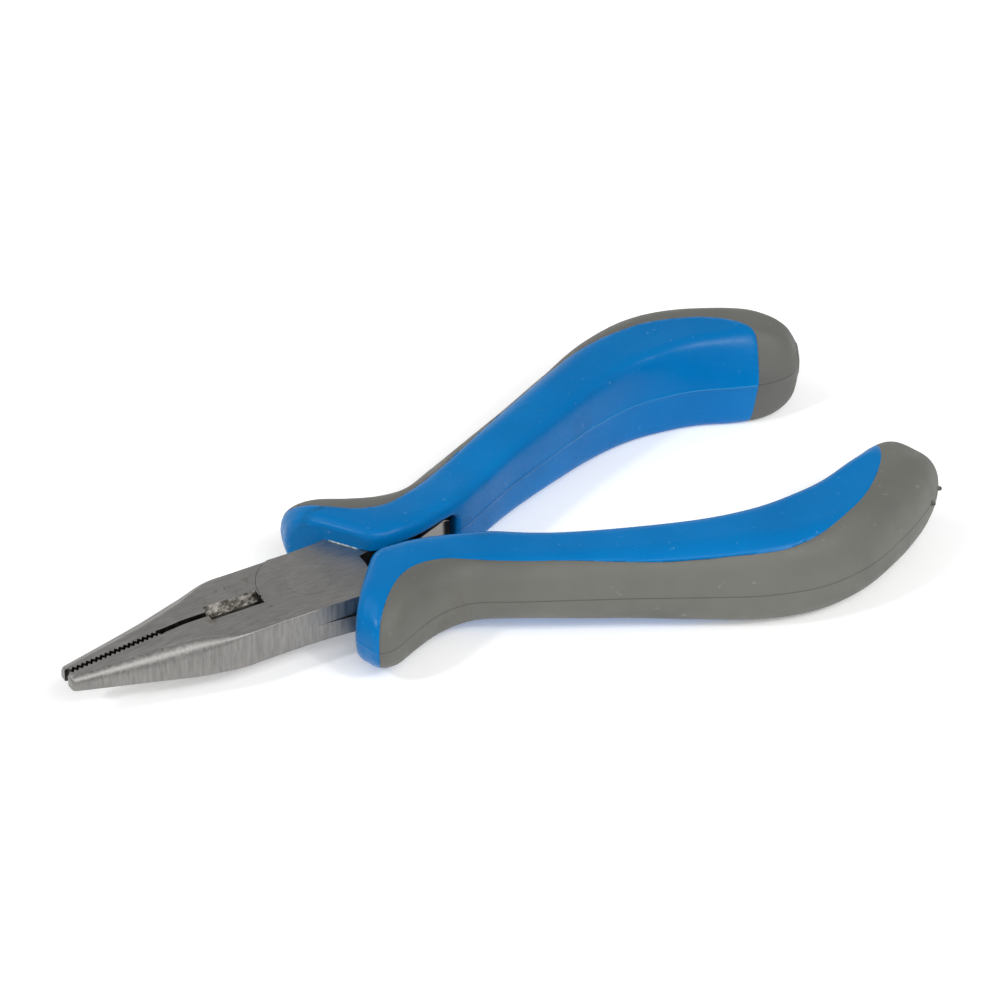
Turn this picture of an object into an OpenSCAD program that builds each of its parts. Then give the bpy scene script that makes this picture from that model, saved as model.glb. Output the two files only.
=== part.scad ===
/* [Joint] */
// Width of the joint, across the two halves
joint_w = 12.9; // [11:0.1:15]
// Thickness of the forged joint
joint_t = 5.7; // [5:0.1:7]
// Radius of each lap plate in front of the pivot
lap_front_r = 7.2; // [6.8:0.1:7.4]
// Radius of each lap plate behind the pivot
lap_rear_r = 8.6; // [8.2:0.1:8.7]
// Gap between the two sliding lap faces, and around each lap plate
lap_gap = 0.06; // [0.04:0.01:0.1]
// Diameter of the rivet's shank
rivet_d = 4.6; // [4:0.1:5.5]
// Diameter of the rivet's countersunk heads
rivet_head_d = 6.4; // [5.8:0.1:7]
// Depth of a countersunk head
rivet_head_h = 1.1; // [0.8:0.1:1.5]
// Radial clearance of the rivet in the half that turns on it
rivet_clearance = 0.05; // [0.02:0.01:0.1]

/* [Jaws] */
// Length of the jaws, from the pivot to the tip
jaw_len = 36.7; // [34:0.1:39]
// Half width of the closed jaws at the tip
tip_w = 2; // [1.4:0.1:2.4]
// Half thickness of the jaws at the tip
tip_t = 1; // [0.8:0.1:1.4]
// Distance from the pivot at which the width starts to taper
taper_start = 13.5; // [12.5:0.1:15]
// Distance from the pivot at which the faces slope down to the tip
slope_start = 19; // [17:0.5:21]
// Gap between the two jaws as the tool lies
jaw_gap = 0.7; // [0.45:0.05:0.8]
// Angle of the jaws to the handles' centre line
jaw_skew = 1.4; // [0:0.1:2]
// Largest radius of the rounded shoulder along each jaw
shoulder_r = 1.8; // [1:0.1:2.2]

/* [Teeth and cutter] */
// Number of teeth on each jaw
teeth = 20; // [14:1:24]
// Depth of a tooth
tooth_h = 0.45; // [0.3:0.05:0.6]
// Distance from the pivot to the last tooth
teeth_end = 22; // [20:0.5:24]
// Distance from the pivot to the front of the cutter notch
notch_front = 15.4; // [14:0.1:16.5]
// Length of the cutter notch
notch_len = 8; // [6:0.1:8]
// Half width of the cutter notch at the faces
notch_w = 1.5; // [1:0.1:2]

/* [Grips] */
// Half height of the grips at the guard
guard_h = 6; // [5.2:0.1:6.2]
// Half height of the grips at the palm
palm_h = 7.3; // [6.8:0.1:7.8]
// Depth of the flat land on the palm's top and underside
land = 0.15; // [0.1:0.05:0.3]
// Exponent of the palm's section on the side that faces the other grip, from round to square
inner_power = 4.5; // [3:0.1:6]
// The same exponent at the guard, where the edges are sharper
guard_power = 7; // [4.5:0.5:8]
// Exponent of the grips' section on the outer side
outer_power = 2.3; // [2:0.1:3]
// Half height of the slot for the return spring
slot_h = 3; // [2.95:0.05:3.4]

/* [Return spring] */
// Thickness of the leaf
leaf_t = 0.5; // [0.3:0.05:0.6]
// Width of the leaf, measured along the pivot
leaf_w = 4.6; // [3.6:0.1:5]
// Length of each leg
leg_len = 9; // [7:0.1:9.2]
// Half the angle between the legs
leg_angle = 24; // [20:0.5:24.5]

/* [Hidden] */

half_w = joint_w / 2;
half_t = joint_t / 2;

// The origin is under the middle of the tool, on the surface that the palms rest on
rest_z = palm_h - land;
handle_end = 88.9;
pivot_x = (jaw_len - handle_end) / 2;

// Sides of the round joint and of a grip's section, and stations between two grip rows
joint_fn = 96;
section_sides = 28;
steps = 3;

// Along the grips, the guard's section turns into the palm's between these distances
guard_end = 17;
palm_start = 32;

// The taper settles into a straight line this far ahead of its start
taper_blend = 1.5;

// Edges of one tang in plan: the edge that faces the other handle, then the outer edge
tang_inner = [
    [3, 0], [8.5, 1.5], [10.6, 2], [15, 2.3], [20, 3.2], [24, 4.8],
    [30, 8.6], [40, 13], [52, 17.8], [66, 21.6]
];
tang_outer = [
    [67, 26], [56, 25], [46, 20.6], [36, 15.8], [26, 11], [18, 7.6],
    [10, 7.8], [4, 6.8], [0, half_w], [-3, half_w]
];

// Slot in a grip for one leg of the return spring, open towards the other handle
slot_outline = [[6, -5], [24.4, -5], [24.6, 5.4], [20, 3.7], [15, 2.8], [6, 2.5]];

// Stations along a grip: inner edge x and y, outer edge x and y, half height
grip_rows = [
    [11.2, 0.8, 2, 13.3, guard_h],
    [13, 0.8, 3, 15.5, guard_h],
    [14.8, 0.9, 5.6, 15.8, guard_h],
    [18, 1.4, 9.4, 13.9, guard_h - 0.2],
    [21.5, 2.4, 14, 12, guard_h - 0.4],
    [26, 3.8, 19, 11.7, guard_h - 0.6],
    [31, 6.4, 25, 14.4, guard_h - 0.8],
    [37, 9.5, 32, 17.6, guard_h - 0.5],
    [45, 12.8, 40, 21.3, guard_h - 0.1],
    [53, 15.8, 48, 25.2, palm_h - 0.8],
    [60, 17.4, 56, 28.8, palm_h - 0.2],
    [66, 17.2, 64, 30.6, palm_h],
    [71, 16.3, 71.5, 29.6, palm_h],
    [76, 14.6, 78.3, 26.4, palm_h],
    [80, 13.5, 83.4, 23.2, palm_h - 0.3],
    [83.2, 13.2, 86.4, 20.8, palm_h - 1.2],
    [85.8, 13.8, 88.2, 18.8, palm_h - 2.8],
    [87.6, 15.4, handle_end, 17.2, palm_h - 5.3]
];

// Rounding of the guard's front: distance ahead of the first row and scale, then the first rows' scales
front_steps = [[1.2, 0.76], [0.9, 0.87], [0.5, 0.93]];
front_scales = [0.965, 0.985, 0.995];

// Plan line between the grip and the overmould on its outer side and round its end
overmould_line = [
    [-1, 20.5], [2, 17.3], [4.4, 13.7], [8.6, 9.4], [12.2, 7.3], [16, 7.1], [20, 8.6], [29, 13.2],
    [38, 18.2], [46, 22.2], [52, 24.6], [58, 25.8], [66, 25.8], [73, 24.2],
    [78, 20.6], [80, 17.8], [80, 13], [80, 8], [95, 8], [95, 40], [-1, 40]
];

// Value at t between b and c on a smooth curve through a, b, c and d
function between(a, b, c, d, t) =
    0.5 * (2 * b + (c - a) * t + (2 * a - 5 * b + 4 * c - d) * t * t
    + (3 * b - a - 3 * c + d) * t * t * t);

function smooth_rows(rows) = [
    for (i = [0:len(rows) - 2], k = [0:steps - 1])
        between(rows[max(i - 1, 0)], rows[i], rows[i + 1], rows[min(i + 2, len(rows) - 1)], k / steps),
    rows[len(rows) - 1]
];

function signed_power(v, p) = sign(v) * pow(abs(v), p);

// One closed ring of a grip's section, scaled about its own middle
function grip_ring(row, scale) = [
    for (i = [0:section_sides - 1])
        let (
            angle = 360 * (i + 0.5) / section_sides,
            blend = max(0, min(1, (row[0] - guard_end) / (palm_start - guard_end))),
            inner = guard_power + (inner_power - guard_power) * blend,
            power = 2 / (cos(angle) > 0 ? outer_power : inner),
            u = 0.5 + 0.5 * scale * signed_power(cos(angle), power),
            v = scale * signed_power(sin(angle), power)
        )
        [row[0] + (row[2] - row[0]) * u, row[1] + (row[3] - row[1]) * u, row[4] * v]
];

// A closed skin over rings that all have the same number of points
module skin(rings) {
    n = len(rings[0]);
    last = (len(rings) - 1) * n;
    sides = [
        for (i = [0:n:last - n], k = [0:n - 1], half = [0, 1])
            let (a = i + k, b = i + (k + 1) % n)
            half == 0 ? [a, b, b + n] : [a, b + n, a + n]
    ];
    front = [for (k = [n - 1:-1:0]) k];
    back = [for (k = [0:n - 1]) last + k];
    polyhedron([for (ring = rings, p = ring) p], concat(sides, [front, back]), convexity = 6);
}

module slab(points, z0, z1) {
    translate([0, 0, z0])
        linear_extrude(z1 - z0)
            polygon(points);
}

module place() {
    translate([pivot_x, 0, rest_z])
        children();
}

// Half width and half thickness of the closed jaws at a distance from the pivot
function taper_w(d) =
    let (run = jaw_len - taper_start - taper_blend)
    tip_w + (half_w - 0.15 - tip_w) * (jaw_len - d) / run;
function slope_t(d) = half_t - (half_t - tip_t) * (d - slope_start) / (jaw_len - slope_start);
function taper_t(d) = min(half_t, slope_t(d));

// Saw-toothed inner edge of a jaw, from the tip to the last root. A shifted row has one tooth less
function tooth_row(shift) =
    let (pitch = (jaw_len - teeth_end) / (teeth + 1), count = shift > 0 ? teeth - 1 : teeth)
    [
        for (k = [0:2 * count])
            [-jaw_len + pitch * (k / 2 + 0.25 + shift), (jaw_gap + (k % 2 == 0 ? tooth_h : -tooth_h)) / 2]
    ];

// Plan outline of the jaw on the +Y side, pointing along -X
function jaw_outline(shift) = concat(
    [
        [0, 0], [0, half_w], [-8, half_w], [1.5 - taper_start, half_w + 0.15],
        [-taper_start, half_w + 0.05], [-taper_start - taper_blend, taper_w(taper_start + taper_blend)],
        [0.6 - jaw_len, taper_w(jaw_len - 0.6)], [-jaw_len, tip_w - 0.6], [-jaw_len, jaw_gap / 2]
    ],
    tooth_row(shift),
    [
        [-teeth_end, jaw_gap / 2 + 0.1], [0.5 - notch_front, jaw_gap / 2 + 0.1],
        [0.5 - notch_front, jaw_gap / 4], [-7, jaw_gap / 4]
    ]
);

// Wedges above and below the jaws, which thin them towards the tip
module slope_cut() {
    before = slope_start - 5;
    beyond = jaw_len + 5;
    for (side = [-1, 1])
        rotate([90, 0, 0])
            linear_extrude(2 * half_w + 9, center = true)
                polygon([
                    [-before, side * slope_t(before)], [-beyond, side * slope_t(beyond)],
                    [-beyond, side * 9], [-before, side * 9]
                ]);
}

// Section of the metal ground off a jaw's outer top edge, at a distance from the pivot
function shoulder_ring(d, r) =
    let (w = taper_w(d), t = taper_t(d))
    concat(
        [[-d, w - 1.5 * r, t + 0.1 * r]],
        [for (a = [75:-15:15]) [-d, w - r + r * cos(a), t - r + r * sin(a)]],
        [
            [-d, w + 0.1 * r, t - 1.5 * r], [-d, w + 4, t - 1.5 * r],
            [-d, w + 4, t + 4], [-d, w - 1.5 * r, t + 4]
        ]
    );

module shoulder_cut() {
    skin([
        shoulder_ring(taper_start + taper_blend + 0.2, 0.35),
        shoulder_ring(slope_start - 1.5, shoulder_r - 0.4),
        shoulder_ring(slope_start + 1.5, shoulder_r),
        shoulder_ring(slope_start + 9, shoulder_r - 0.2),
        shoulder_ring(jaw_len + 1, 0.8)
    ]);
}

// Both bevels of one jaw's cutter, which leave a narrow edge at mid thickness
module cutter_cut() {
    edge = 0.3;
    flare = (notch_w - jaw_gap / 4) / (half_t - edge);
    for (side = [-1, 1])
        translate([-notch_front, 0, 0])
            rotate([90, 0, 90])
                linear_extrude(notch_len)
                    polygon([
                        [-1, side * edge], [jaw_gap / 4, side * edge], [notch_w + flare, side * (half_t + 1)],
                        [notch_w + flare, side * 9], [-1, side * 9]
                    ]);
}

// Everything cut from the jaw on the +Y side. Its shoulder is above with side at 1, below at -1
module jaw_cuts(side) {
    slope_cut();
    cutter_cut();
    mirror([0, 0, side > 0 ? 0 : 1])
        shoulder_cut();
}

// Disc of a lap plate, with a smaller radius ahead of the pivot than behind it
module lap_disc(grow) {
    for (x = [-20, 0])
        intersection() {
            circle((x < 0 ? lap_front_r : lap_rear_r) + grow, $fn = joint_fn);
            translate([x, -20])
                square([20, 40]);
        }
}

// Rivet with both heads flush in the faces, grown by a clearance to cut its hole
module rivet(grow, over) {
    cylinder(h = joint_t + over, r = rivet_d / 2 + grow, center = true, $fn = joint_fn);
    for (side = [0, 1])
        mirror([0, 0, side])
            translate([0, 0, half_t - rivet_head_h - grow]) {
                cylinder(rivet_head_h + grow, rivet_d / 2, rivet_head_d / 2 + grow, $fn = joint_fn);
                if (over > 0)
                    translate([0, 0, rivet_head_h + grow])
                        cylinder(h = over, r = rivet_head_d / 2 + grow, $fn = joint_fn);
            }
}

// Places what is drawn for the +Y jaw on the -Y side, at the jaws' own angle
module jaw_frame(turn) {
    rotate([0, 0, turn * jaw_skew])
        mirror([0, 1, 0])
            children();
}

module half_plan(turn) {
    jaw_frame(turn)
        polygon(jaw_outline(turn > 0 ? 0 : 0.5));
    polygon(concat(tang_inner, tang_outer));
}

// Forged half with its lap plate above the middle, its jaw at -Y and its tang at +Y.
// Turned over, with turn at -1, it is the other half
module forged_half(turn, grow) {
    difference() {
        union() {
            translate([0, 0, lap_gap / 2])
                linear_extrude(half_t - lap_gap / 2) {
                    half_plan(turn);
                    intersection() {
                        lap_disc(0);
                        square([40, joint_w], center = true);
                    }
                }
            translate([0, 0, -half_t])
                linear_extrude(half_t + lap_gap / 2)
                    difference() {
                        half_plan(turn);
                        lap_disc(lap_gap);
                    }
        }
        jaw_frame(turn)
            jaw_cuts(turn);
        rivet(grow, 1);
    }
}

module upper_half() {
    color("silver")
        place()
            forged_half(1, 0);
}

module lower_half() {
    color("silver")
        place()
            rotate([180, 0, 0])
                forged_half(-1, rivet_clearance);
}

module pivot_rivet() {
    color("dimgray")
        place()
            rivet(0, 0);
}

// Bent leaf: two legs from a round bend between the handles, each with a rolled end
module return_spring() {
    bend_r = 1;
    roll_r = 0.75;
    color("gainsboro")
        place()
            translate([15.9, 0, -leaf_w / 2])
                linear_extrude(leaf_w) {
                    difference() {
                        circle(bend_r, $fn = 48);
                        circle(bend_r - leaf_t, $fn = 48);
                        rotate([0, 0, leg_angle - 90])
                            square([9, 9]);
                        rotate([0, 0, -leg_angle])
                            square([9, 9]);
                    }
                    for (side = [0, 1])
                        mirror([0, side, 0])
                            rotate([0, 0, leg_angle]) {
                                translate([0, bend_r - leaf_t])
                                    square([leg_len - 1.2, leaf_t]);
                                translate([leg_len - 1.2, bend_r - roll_r])
                                    difference() {
                                        circle(roll_r, $fn = 48);
                                        circle(roll_r - leaf_t, $fn = 48);
                                        translate([-2, -1.5])
                                            square([2, 3]);
                                    }
                            }
                }
}

// Whole moulding round the tang at +Y, with its cavities
module moulding() {
    rows = smooth_rows(grip_rows);
    ahead = [for (step = front_steps) rows[0] - [step[0], 0.1, step[0], 0.1, 0]];
    difference() {
        intersection() {
            skin(concat(
                [for (i = [0:len(ahead) - 1]) grip_ring(ahead[i], front_steps[i][1])],
                [for (i = [0:len(rows) - 1]) grip_ring(rows[i], i < len(front_scales) ? front_scales[i] : 1)]
            ));
            translate([-10, -10, -rest_z])
                cube([120, 60, 2 * rest_z]);
        }
        slab(concat(tang_inner, tang_outer), -half_t, half_t);
        slab(slot_outline, -slot_h, slot_h);
        cylinder(h = 2 * slot_h, r = lap_rear_r + 0.15, center = true, $fn = joint_fn);
    }
}

module overmould_zone() {
    slab(overmould_line, -20, 20);
}

module grip() {
    color("dodgerblue")
        difference() {
            moulding();
            overmould_zone();
        }
}

module overmould() {
    color("dimgray")
        intersection() {
            moulding();
            overmould_zone();
        }
}

module upper_grip() {
    place()
        grip();
}

module lower_grip() {
    place()
        rotate([180, 0, 0])
            grip();
}

module upper_overmould() {
    place()
        overmould();
}

module lower_overmould() {
    place()
        rotate([180, 0, 0])
            overmould();
}

upper_half();
lower_half();
pivot_rivet();
return_spring();
upper_grip();
lower_grip();
upper_overmould();
lower_overmould();
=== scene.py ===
import math

import bmesh
import bpy
import numpy as np
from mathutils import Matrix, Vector
from mathutils.bvhtree import BVHTree


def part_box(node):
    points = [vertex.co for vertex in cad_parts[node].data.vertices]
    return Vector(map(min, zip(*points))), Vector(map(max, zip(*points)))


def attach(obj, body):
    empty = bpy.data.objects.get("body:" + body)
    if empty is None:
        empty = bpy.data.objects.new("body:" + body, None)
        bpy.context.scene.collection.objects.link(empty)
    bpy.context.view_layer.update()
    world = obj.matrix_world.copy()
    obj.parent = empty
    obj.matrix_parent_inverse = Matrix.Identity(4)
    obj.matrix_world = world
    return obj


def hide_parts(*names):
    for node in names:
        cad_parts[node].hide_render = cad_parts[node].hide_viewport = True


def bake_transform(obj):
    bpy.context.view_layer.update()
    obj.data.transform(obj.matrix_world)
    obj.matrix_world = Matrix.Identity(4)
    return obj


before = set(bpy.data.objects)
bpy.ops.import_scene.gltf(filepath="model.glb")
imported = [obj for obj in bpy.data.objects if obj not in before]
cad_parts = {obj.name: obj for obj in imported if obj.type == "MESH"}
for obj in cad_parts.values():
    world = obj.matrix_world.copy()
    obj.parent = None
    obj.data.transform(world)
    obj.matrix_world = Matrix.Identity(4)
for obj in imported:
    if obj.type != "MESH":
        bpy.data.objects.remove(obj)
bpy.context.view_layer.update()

# ---------------------------------------------------------------- frame and sizes

# Shapes are drawn in millimetres round the pivot, with +Y the handle that rides on the upper arm.
MM = 0.001
rivet_lo, rivet_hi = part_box("pivot_rivet")
PIVOT = (rivet_lo + rivet_hi) / 2
HALF_T = (rivet_hi.z - rivet_lo.z) / 2 / MM     # half thickness of the joint
REST_Z = PIVOT.z / MM                           # height of the joint's middle above the floor

GUARD_H = 6.0         # half height of a handle at the guard
PALM_H = 7.3          # half height at the palm
INNER_POWER = 8       # exponent of a section on its inner side, where it is nearly square
OUTER_POWER = 2.3     # exponent on its outer side, where it is nearly round
HANDLE_END = 88.9
END_FAR = -1.7        # how much further out the far handle's end is than the stations say
END_NEAR = 0.8        # and the near handle's
DRAWN_FROM, DRAWN_OVER = 60, 28     # where that starts, and the length over which it grows
FAR_FRONT = (0.8, 0.4)              # how far the far guard's front stands back, at its inner and outer edge
FAR_FRONT_TO, FAR_FRONT_OVER = 22, 10   # where that ends, and the length over which it fades
# What is added to two edges of the shared stations, by distance along the handle: the far handle's outer one,
# and the near handle's inner one.
FAR_OUTER = ((54, 66, 72, 76, 80, 84, 88), (0, 0.8, 1.2, 1.7, 2.2, 2.2, 1.4))
NEAR_INNER = ((22, 34, 70, 78, 84, 88), (0, 0.25, 0.3, 0, -1.1, -1.2))

# Stations along a handle: inner edge x and y, outer edge x and y, half height.
GRIP_ROWS = [
    [11.2, 0.8, 2, 13.3, GUARD_H],
    [13, 0.8, 3, 15.5, GUARD_H],
    [14.8, 0.9, 5.6, 15.8, GUARD_H],
    [18, 1.4, 9.4, 13.9, GUARD_H - 0.2],
    [21.5, 2.4, 14, 12, GUARD_H - 0.4],
    [26, 3.8, 19, 11.7, GUARD_H - 0.6],
    [31, 6.4, 25, 14.4, GUARD_H - 0.8],
    [37, 9.5, 32, 17.6, GUARD_H - 0.5],
    [45, 12.8, 40, 21.3, GUARD_H - 0.1],
    [53, 15.8, 48, 25.2, PALM_H - 0.8],
    [60, 17.4, 56, 28.8, PALM_H - 0.2],
    [66, 17.2, 64, 30.6, PALM_H],
    [71, 16.3, 71.5, 29.6, PALM_H],
    [76, 14.6, 78.3, 26.4, PALM_H],
    [80, 13.5, 83.4, 23.2, PALM_H - 0.3],
    [83.2, 13.2, 86.4, 20.8, PALM_H - 1.2],
    [85.8, 13.8, 88.2, 18.8, PALM_H - 2.8],
    [87.6, 15.4, HANDLE_END, 17.2, PALM_H - 5.3],
]

# Plan line between the hard grip and the soft overmould, along the top: a front that both handles share, then
# each handle's rear.
SOFT_FRONT = [
    [-1, 20.5], [2, 17.3], [4.4, 13.7], [8.6, 9.4], [12.2, 7.3], [16, 7.1], [20, 8.6], [29, 13.2], [38, 18.2],
]
SOFT_NEAR = [
    [44.3, 21.6], [47.5, 23.1], [49.5, 24], [52, 25], [56, 26.6], [60.4, 27.6], [65.4, 27.1], [71.1, 24.7],
    [75, 22.1], [78.7, 18.3], [80.8, 14.7], [81.2, 11], [81.2, 6],
]
SOFT_FAR = [
    [46, 22.2], [52, 24.5], [58, 25.5], [62, 25.7], [67, 25.8], [73.4, 24.2], [77.4, 22.1],
    [79.5, 20.1], [80.7, 18.4], [80.9, 16.6], [80.7, 14.5], [80.6, 12], [80.6, 6],
]
SOFT_REST = [[96, 6], [96, 40], [-2, 40]]     # the way back round outside the handle
# How much further inwards, and towards the jaws, that line runs along the underside, by distance.
UNDER_IN = ((30, 50, 63, 79), (0, 1.7, 2.5, 0))
UNDER_BACK = ((66, 80), (0, 2.0))
SOFT_DEPTH = 6        # height above and below the middle where the two lines are drawn
# How far the far handle's inner edge leans outwards along its top, by distance.
FAR_LEAN = ((56, 64, 72, 79, 86), (0, 0.9, 2.8, 4.2, 3.4))
LEAN_POWER = 1.3      # how the lean grows from mid height to the top


def to_row(points, turned):
    """Points in millimetres round the pivot, as metres in the frame. Turned, they are the near handle's."""
    p = np.array(points, float)
    if turned:
        p = p * [1, -1, -1]
    return p * MM + np.array(PIVOT)


def drawn_out(x, turned):
    """Distances along a handle. The far handle is a touch shorter at its end than the near one."""
    t = np.clip((np.array(x, float) - DRAWN_FROM) / DRAWN_OVER, 0, 1)
    return x + (END_NEAR if turned else END_FAR) * t * t * (3 - 2 * t)


def handle_rows(turned, steps):
    """Stations of one handle. The far guard's front stands back, and the far end is wider outwards. The near
    end is wider inwards."""
    rows = smooth(GRIP_ROWS, steps)
    if turned:
        rows[:, 1] += np.interp(rows[:, 0], *NEAR_INNER)
    else:
        ahead = np.clip((FAR_FRONT_TO - rows[:, 0]) / FAR_FRONT_OVER, 0, 1)
        rows[:, 0] += FAR_FRONT[0] * ahead
        rows[:, 2] += FAR_FRONT[1] * ahead
        rows[:, 3] += np.interp(rows[:, 0], *FAR_OUTER)
    rows[:, 0], rows[:, 2] = drawn_out(rows[:, 0], turned), drawn_out(rows[:, 2], turned)
    return rows


def smooth(rows, steps):
    """Catmull-Rom curve through rows, with this many steps between two rows."""
    rows = np.array(rows, float)
    out = []
    for i in range(len(rows) - 1):
        a, b = rows[max(i - 1, 0)], rows[i]
        c, d = rows[i + 1], rows[min(i + 2, len(rows) - 1)]
        for k in range(steps):
            t = k / steps
            out.append(
                0.5 * (2 * b + (c - a) * t + (2 * a - 5 * b + 4 * c - d) * t * t
                       + (3 * b - a - 3 * c + d) * t ** 3)
            )
    out.append(rows[-1])
    return np.array(out)


def new_mesh(name, verts, faces, smooth_shade=True):
    mesh = bpy.data.meshes.new(name)
    mesh.from_pydata([tuple(v) for v in verts], [], [tuple(f) for f in faces])
    mesh.update()
    if smooth_shade:
        mesh.polygons.foreach_set("use_smooth", [True] * len(mesh.polygons))
    obj = bpy.data.objects.new(name, mesh)
    bpy.context.scene.collection.objects.link(obj)
    return obj


def recalculated(obj):
    """The same object, with its faces all turned outwards."""
    bm = bmesh.new()
    bm.from_mesh(obj.data)
    bmesh.ops.recalc_face_normals(bm, faces=bm.faces)
    bm.to_mesh(obj.data)
    bm.free()
    return obj


def solid(name, points, faces, turned):
    """A flat shaded piece from points in millimetres round the pivot."""
    return recalculated(new_mesh(name, to_row(points, turned), faces, False))


def block_faces(n):
    """Faces of a block that has its bottom in its first n points and its top in the next n."""
    sides = [(k, (k + 1) % n, n + (k + 1) % n, n + k) for k in range(n)]
    return [tuple(range(n))[::-1], tuple(range(n, 2 * n))] + sides


def lofted(rings):
    """Vertices and faces of a closed skin over rings of one point count."""
    count = len(rings[0])
    verts = np.concatenate(rings)
    faces = []
    for i in range(len(rings) - 1):
        a, b = i * count, (i + 1) * count
        for k in range(count):
            n = (k + 1) % count
            faces.append((a + k, a + n, b + n, b + k))
    faces.append(tuple(range(count))[::-1])
    faces.append(tuple(range((len(rings) - 1) * count, len(rings) * count)))
    return verts, faces


# ---------------------------------------------------------------- grips

SEAM_HALF = 0.05      # half width of the mould seam's crest
SEAM_FOOT = 0.14      # half width of its foot
SEAM_RISE = 0.05      # height of the crest
GROOVE = 0.09         # depth of the groove between the hard grip and the soft overmould
GROOVE_NEAR = 0.06    # points this near the boundary's wall are taken as lying on it
HALF_RING = 46        # plain points on half a section
CURVE_STEPS = 1440    # fine steps along a section's curve, from which those points are taken
ROW_STEPS = 9         # rings between two stations of a handle
WALL_STEPS = 6        # and points, where the spring's pocket follows its inner wall
LINE_STEPS = 8        # points between two given points of the line between grip and overmould
FRONT_REACH = 1.2     # how far the far guard's front stands ahead of the first station
NEAR_REACH = 0.4      # and how much further the near guard's does
FRONT_WAY = [1, 0.1, 0.6, 0.9, 0]     # how that reach shows in each value of a station
FRONT_ROUND = 2.0     # length over which the front is rounded
FRONT_SHRINK = 0.2    # share by which the section has shrunk at the very front
FRONT_RINGS = 6
END_RINGS = 5
END_BULGE = 0.3       # how far the rounded end stands out past the last station
SHARP_GRIP = 45       # edges of the mouldings above this angle stay sharp

POCKET_START, POCKET_END = 5, 24.4    # the spring's pocket, before its mouth flares
POCKET_H = 3.0        # its half height
POCKET_ROUND = 1.1    # radius of its corners
POCKET_FLOOR = ((6, 15, 20, 24.6), (2.5, 2.8, 3.7, 5.4))
# Its flared mouth, from outside inwards: how much wider it is, and how far it lies behind the inner wall.
POCKET_MOUTH = ((1.6, -6), (1.3, -0.6), (0.75, 0), (0.4, 0.12), (0.15, 0.38), (0, 0.8))


def section(row, scale):
    """One ring of a handle: even steps round it, with extra points for the mould's seam at mid height."""
    inner, outer, height = row[0:2], row[2:4], row[4]
    width = np.linalg.norm(outer - inner)
    a = np.radians(np.linspace(180, 0, CURVE_STEPS + 1))
    c, s = np.cos(a), np.sin(a)
    power = np.where(c > 0, 2 / OUTER_POWER, 2 / INNER_POWER)
    u = 0.5 + 0.5 * scale * np.sign(c) * np.abs(c) ** power
    v = scale * np.clip(s, 0, 1) ** power
    z = np.minimum(height * v, REST_Z)
    run = np.concatenate([[0], np.cumsum(np.hypot(np.diff(u) * width, np.diff(z)))])
    total = run[-1]
    at = np.concatenate([
        [0, SEAM_HALF, SEAM_FOOT],
        np.linspace(SEAM_FOOT, total - SEAM_FOOT, HALF_RING + 2)[1:-1],
        [total - SEAM_FOOT, total - SEAM_HALF, total],
    ])
    uu, zz = np.interp(at, run, u), np.interp(at, run, z)
    out = (outer - inner) / width
    flat = inner + (outer - inner) * uu[:, None]
    for k, sign in ((0, -1), (1, -1), (-1, 1), (-2, 1)):
        flat[k] += out * sign * SEAM_RISE
    top = np.column_stack([flat, zz])
    low = np.column_stack([flat, -zz])[1:-1][::-1]
    return np.concatenate([top, low])


def handle_rings(turned):
    """Rings of a whole handle, rounded at the guard's front and at the end."""
    rows = handle_rows(turned, ROW_STEPS)
    reach = FRONT_REACH + (NEAR_REACH if turned else 0)
    back = reach * np.array(FRONT_WAY)
    ahead = [rows[0] - back * (1 - k / FRONT_RINGS) for k in range(FRONT_RINGS)]
    rings = []
    for row in ahead + list(rows):
        run = (row[0] - rows[0][0]) + reach
        near = max(0, 1 - run / FRONT_ROUND)
        rings.append(section(row, 1 - FRONT_SHRINK * (1 - math.sqrt(1 - near * near))))
    for k in range(1, END_RINGS):
        t = k / END_RINGS
        past = END_BULGE * t * np.array([1, 0, 1, 0, 0])
        rings.append(section(rows[-1] + past, math.sqrt(1 - t * t)))
    if not turned:
        for ring in rings:
            inner, outer = ring[0, 1], ring[len(ring) // 2, 1]
            share = np.clip((outer - ring[:, 1]) / max(outer - inner, 0.1), 0, 1)
            raised = np.clip(ring[:, 2] / PALM_H, 0, 1) ** LEAN_POWER
            ring[:, 1] += np.interp(ring[0, 0], *FAR_LEAN) * share * raised
    return rings


def handle_mesh(name, turned):
    verts, faces = lofted(handle_rings(turned))
    return recalculated(new_mesh(name, to_row(verts, turned), faces))


def leaning_block(name, outline, z0, upper, z1, turned):
    """A block that has one plan outline at its bottom and another on top."""
    low = [(x, y, z0) for x, y in outline]
    high = [(x, y, z1) for x, y in upper]
    return solid(name, low + high, block_faces(len(outline)), turned)


def cut(obj, tool, how):
    """Applies one exact boolean to obj."""
    m = obj.modifiers.new("cut", "BOOLEAN")
    m.operation = how
    m.solver = "EXACT"
    m.object = tool
    dg = bpy.context.evaluated_depsgraph_get()
    made = bpy.data.meshes.new_from_object(obj.evaluated_get(dg))
    obj.modifiers.clear()
    old = obj.data
    obj.data = made
    bpy.data.meshes.remove(old)
    return obj


def drop(*objs):
    for o in objs:
        bpy.data.objects.remove(o)


def shade(obj, sharp):
    """Smooth shading that lets large faces keep their own direction, with edges over an angle left sharp."""
    obj.data.set_sharp_from_angle(angle=math.radians(sharp))
    weighted = obj.modifiers.new("weighted", "WEIGHTED_NORMAL")
    weighted.keep_sharp = True
    weighted.weight = 100


def copy_of(obj, name):
    """A second object with a mesh of its own."""
    twin = obj.copy()
    twin.data = obj.data.copy()
    twin.name = name
    bpy.context.scene.collection.objects.link(twin)
    return twin


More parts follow.
